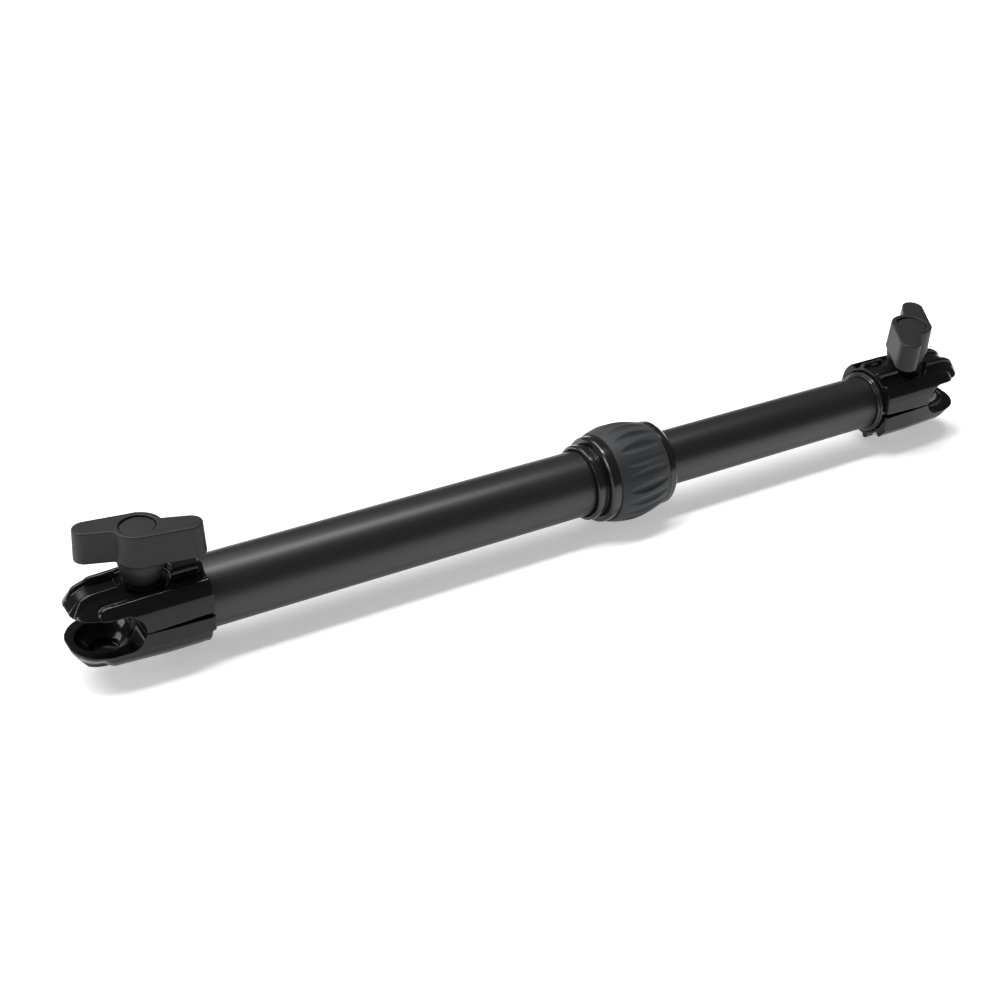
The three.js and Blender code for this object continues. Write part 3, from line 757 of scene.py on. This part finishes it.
def barrel_radius(t):
    """Radius of the barrel from its left end, t = 0, to its right end, t = 1."""
    bulge = math.sin(math.pi * t ** BULGE_SHIFT)
    return BARREL_START_R + (BARREL_END_R - BARREL_START_R) * t + BARREL_BULGE * bulge


def flute_tree():
    """A tree that presses the flutes into the barrel's outside, towards the bar's axis."""
    graph, given = start_tree("barrel_flutes", FLUTES)
    count, depth, lean = given["Count"], given["Depth"], given["Lean"]
    x, y, z = graph.apart(graph.node("GeometryNodeInputPosition")[0])
    radius = (y * y + z * z).sqrt()
    along = (x / MM - given["Centre"]) / given["Half length"]
    turn = y.run("ARCTAN2", z) / (2 * math.pi) * count + along * lean
    beside = turn - turn.run("ROUND")
    taper = (1.0 - (along * along).low(1.0)) ** 1.3
    hollow = (taper - beside * beside * given["Narrowness"]).soft_high(0.0, 0.06)
    outside = (radius / MM).ramp(BARREL_INSIDE_R, BARREL_INSIDE_R + 0.2)
    shrink = (radius - hollow * outside * depth * MM) / radius
    spot = graph.node("ShaderNodeCombineXYZ", None, x, y * shrink, z * shrink)
    moved = graph.node("GeometryNodeSetPosition", None, Geometry=given["Geometry"],
                       Position=spot[0])
    return end_tree(graph, given, moved[0])


steps = 72
outline = [(GRIP_START + (GRIP_END - GRIP_START) * i / steps, barrel_radius(i / steps), 0.0)
           for i in range(1, steps)]
left_edge = [(GRIP_START, SPOOL_R + GAP, 0.1), (GRIP_START, barrel_radius(0) - 0.1, 0.4)]
right_edge = [(GRIP_END, barrel_radius(1) - 0.1, 0.4), (GRIP_END, SPOOL_R + GAP, 0.1)]
barrel = left_edge + outline + right_edge
grip = grown("grip_barrel", flute_tree(), FLUTES, RUBBER,
             seed=turned("plain_barrel", barrel, segments=560))
piece("grip_barrel", grip, "collar_sleeve", "grip_rubber", ["grip_sleeve"], crease=50)

# %% [markdown]
# ## The reducer at the thin tube
# The clamps are bored for the thicker tube. At the thin end a stepped sleeve fills the gap,
# and two of its lips show behind the casting with a bright line on each edge.

# %% Reducer sleeve
SLEEVE_START, STEP_X, SLEEVE_END = 46.6, 62.8, 64.2
reducer = [
    (SLEEVE_START, INNER_R + GAP, 0.2), (SLEEVE_START, OUTER_R, 0.2),
    (STEP_X - 1.2, OUTER_R, 0.2), (STEP_X - 0.3, OUTER_R - 0.2, 0.6),
    (STEP_X, OUTER_R - 1.2, 0.3), (STEP_X, INNER_R + 1.9, 0.2),
    (SLEEVE_END - 0.4, INNER_R + 1.7, 0.4), (SLEEVE_END, INNER_R + 1.1, 0.3),
    (SLEEVE_END, INNER_R + GAP, 0.2),
]
piece("reducer_sleeve", turned("reducer_sleeve", reducer), "inner", "collar",
      ["right_reducer_sleeve"], PLACE["right"], crease=EDGE_CREASE)

# %% [markdown]
# ## The wing knobs
# The knob is one moulding: a hub, two wings that run off it like a pinwheel, and a neck that
# goes down into the casting's pocket. Each wing is tangent to the hub on one side and steps
# in from it on the other. The mould opens upwards, so the wings are a little wider below.

# %% Knob moulding
HUB_R, WING_END_R, WING_X, WING_BACK = 14.4, 7.5, 29.0, 1.8
KNOB_TOP, WING_BOTTOM, WING_DRAFT = 57.0, 37.0, 1.03
NECK_BOTTOM, NECK_FLARE_START, NECK_FLARE_END = 21.6, 22.8, 31.0
INSERT_R, INSERT_TOP = 6.8, 47.5
DIMPLE_PLACE = (37.2, -1.2, 43.5)
CAP_R, CAP_BOTTOM, CAP_TOP, CAP_CROWN, CAP_SEAT_Z = 10.25, 54.9, 56.55, 0.0016, 54.6
SLOT_HALF_WIDTH, SLOT_FLOOR, SLOT_STOP_Y = 0.5, 55.6, 3.0


def wing(x, y):
    """Distance outside one wing, which runs along +x from the hub."""
    lean = math.atan2(WING_BACK, WING_X)
    spread = math.asin((HUB_R - WING_END_R) / math.hypot(WING_X, WING_BACK))
    tangent = -math.pi / 2 - lean + spread
    normal = (math.cos(tangent), math.sin(tangent))
    past = (x - WING_X).high(0.0)
    finger = (past * past + (y + WING_BACK) * (y + WING_BACK)).sqrt() - WING_END_R
    finger = finger.high(-x)
    web = (x * normal[0] + y * normal[1] - HUB_R).high(y - (WING_END_R - WING_BACK))
    end = (x - WING_X) * -normal[1] + (y + WING_BACK) * normal[0]
    return finger.low(web.high(end).high(-x))


def knob_rule(x, y, z, sizes):
    """Distance outside the knob's moulding."""
    draft = z.ramp(WING_BOTTOM, KNOB_TOP, WING_DRAFT, 1.0)
    u, v = x / draft, y / draft
    hub = round_hole(u, v, HUB_R)
    plan = hub.soft_low(wing(u, v), 1.0).soft_low(wing(-u, -v), 1.0)
    body = plan.soft_high(z - KNOB_TOP, sizes["Top round"])
    body = body.soft_high(WING_BOTTOM - z, 0.9)
    neck_r = z.ramp(NECK_FLARE_START, NECK_FLARE_END, 11.0, 13.3)
    neck_r = neck_r + z.ramp(NECK_FLARE_END, WING_BOTTOM, 0.0, 0.9)
    neck = round_hole(x, y, neck_r).soft_high(NECK_BOTTOM - z, 1.2)
    body = body.soft_low(neck.high(z - WING_BOTTOM - 2.0), 2.2)
    body = body.soft_high(-round_hole(x, y, INSERT_R).high(z - INSERT_TOP), 0.3)
    recess = round_hole(x, y, sizes["Cap seat"]).high(CAP_SEAT_Z - z)
    body = body.soft_high(-recess, 0.5)
    # A moulding gate leaves a small dimple near the tip of one wing.
    dx, dy, dz = (a - b for a, b in zip((x, y, z), DIMPLE_PLACE))
    dimple = (dx * dx + dy * dy + dz * dz).sqrt() - sizes["Dimple"]
    return body.soft_high(-dimple, 0.3)


def cap_rule(x, y, z, sizes):
    """Distance outside the disc in the knob's top."""
    radius = (x * x + y * y).sqrt()
    body = (radius - CAP_R).soft_high(z - (CAP_TOP - radius * radius * CAP_CROWN), 0.9)
    body = body.soft_high(CAP_BOTTOM - z, 0.2)
    # A fingernail slot follows part of the rim.
    slot = (abs(radius - sizes["Slot radius"]) - SLOT_HALF_WIDTH).high(SLOT_FLOOR - z)
    return body.soft_high(-slot.high(SLOT_STOP_Y - y), 0.3)


CAP_VOXEL = 0.3
knob_sizes = {"Top round": 1.4, "Cap seat": 10.65, "Dimple": 1.1}
knob_tree = carve("wing_knob", knob_rule, knob_sizes,
                  (-40.0, -18.0, 21.0), (40.0, 18.0, 57.6), VOXEL)
knob_mesh = grown("wing_knob", knob_tree, knob_sizes, KNOB)
cap_sizes = {"Slot radius": 9.6}
cap_tree = carve("knob_cap", cap_rule, cap_sizes,
                 (-11.0, -11.0, 54.5), (11.0, 11.0, 57.0), CAP_VOXEL)
cap_mesh = grown("knob_cap", cap_tree, cap_sizes, KNOB)
KNOB_TURN = {"left": -18.7, "right": 49.3 - 180.0}
for end, place in PLACE.items():
    stand = (place @ Matrix.Translation((KNOB_X * MM, 0, 0))
             @ Matrix.Rotation(math.radians(KNOB_TURN[end]), 4, "Z"))
    piece(f"{end}_wing_knob", knob_mesh, f"{end}_knob", "knob", [f"{end}_knob_body"], stand)
    piece(f"{end}_knob_disc", cap_mesh, f"{end}_knob", "knob", [f"{end}_knob_cap"], stand)

# %% [markdown]
# ## What is left of the frame
# The bolts, springs, washers, plugs and bushes are already the right shape. They keep the
# imported mesh and get the finish of their slot. The washers under the knobs are painted
# near black as painted shade, so that the pocket under each knob stays dark.

# %% Finishes on the kept nodes
SLOT_OF = {row["node"]: row["material_slot"] for row in frame["record"]["subparts"]}
for node, made in frame["nodes"].items():
    material = SLOT_FINISH[SLOT_OF[node]]
    # The washers get the near-black finish: painted shade for the pocket under the knob.
    if node.endswith("thrust_washer"):
        material = WASHER_PAINTED_SHADE
    for material_slot in made.material_slots:
        material_slot.material = material
print("finishes given to", len(SLOT_OF), "packed nodes")

# %% [markdown]
# ## Studio
# The bar stands on a plain pale floor. Black gloss is only what it mirrors, so the lights
# are few and wide: a big silk high behind the bar draws the light bands along the tops, a
# strip straight overhead runs along the ridges, and a softbox on the left gives the glints.
# The front stays darker, which keeps the sides of the knobs and the middle of the tubes deep.

# %% Floor
FLOOR_GAP, FLOOR_SPAN = 0.0005, 6.0
floor_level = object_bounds()[0][2] - FLOOR_GAP
floor_mesh = bpy.data.meshes.new("studio_floor")
floor_mesh.from_pydata([(-FLOOR_SPAN, -FLOOR_SPAN, floor_level),
                        (FLOOR_SPAN, -FLOOR_SPAN, floor_level),
                        (FLOOR_SPAN, FLOOR_SPAN, floor_level),
                        (-FLOOR_SPAN, FLOOR_SPAN, floor_level)], [], [(0, 1, 2, 3)])
floor = bpy.data.objects.new("studio_floor", floor_mesh)
bpy.context.scene.collection.objects.link(floor)
PALE = finish("pale_floor", colour=(0.84, 0.84, 0.84), Roughness=0.9,
              Emission_Color=(1.0, 1.0, 1.0, 1.0), Emission_Strength=0.42)
floor_mesh.materials.append(PALE)
print("floor lies at", floor_level)

# %% Lights
def stand_light(name, lamp, where, aim):
    """Stand a lamp at a place and turn it to face another."""
    holder = bpy.data.objects.new(name, lamp)
    holder.location = where
    holder.rotation_euler = (Vector(aim) - Vector(where)).to_track_quat("-Z", "Y").to_euler()
    bpy.context.scene.collection.objects.link(holder)


def softbox(name, where, aim, size, power):
    """A rectangular lamp, its size in metres and its power in watts."""
    lamp = bpy.data.lights.new(name, "AREA")
    lamp.shape = "RECTANGLE"
    lamp.size, lamp.size_y = size
    lamp.energy = power
    stand_light(name, lamp, where, aim)


silk = bpy.data.lights.new("overhead_silk", "SUN")
silk.energy = 2.5
silk.angle = math.radians(50.0)
stand_light("overhead_silk", silk, (-0.3, 0.5, 0.85), (0.0, 0.0, 0.0))
softbox("left_softbox", (-1.5, 0.15, 0.5), (0.3, 0.0, 0.0), (0.7, 0.6), 8.0)
softbox("overhead_strip", (0.4, 0.15, 1.5), (0.4, 0.0, 0.0), (1.3, 0.2), 16.0)

world = bpy.data.worlds.new("studio")
world.use_nodes = True
background = world.node_tree.nodes["Background"]
background.inputs["Color"].default_value = (1.0, 1.0, 1.0, 1.0)
background.inputs["Strength"].default_value = 0.12
bpy.context.scene.world = world
bpy.context.scene.view_settings.view_transform = "Standard"
print("lights", [lamp.name for lamp in bpy.data.lights])

# %% [markdown]
# ## Camera
# The camera looks down along the bar from beyond its thick end, so the near clamp looks
# larger than the far one. Its place and its three axes are given in the part's own frame.

# %% Camera
right = Vector((0.85646057, -0.51567817, 0.0234801)).normalized()
forward = Vector((0.45400498, 0.73082399, -0.50968203))
forward = (forward - right * forward.dot(right)).normalized()
up = right.cross(forward)
lens = bpy.data.cameras.new("camera")
lens.sensor_width = 36.0
lens.lens = 57.6
lens.clip_start = 0.01
camera = bpy.data.objects.new("camera", lens)
pose = Matrix((right, up, -forward)).transposed().to_4x4()
pose.translation = (-0.20367, -0.757557, 0.532812)
camera.matrix_world = pose
bpy.context.scene.collection.objects.link(camera)
bpy.context.scene.camera = camera
print("camera stands at", tuple(pose.translation))
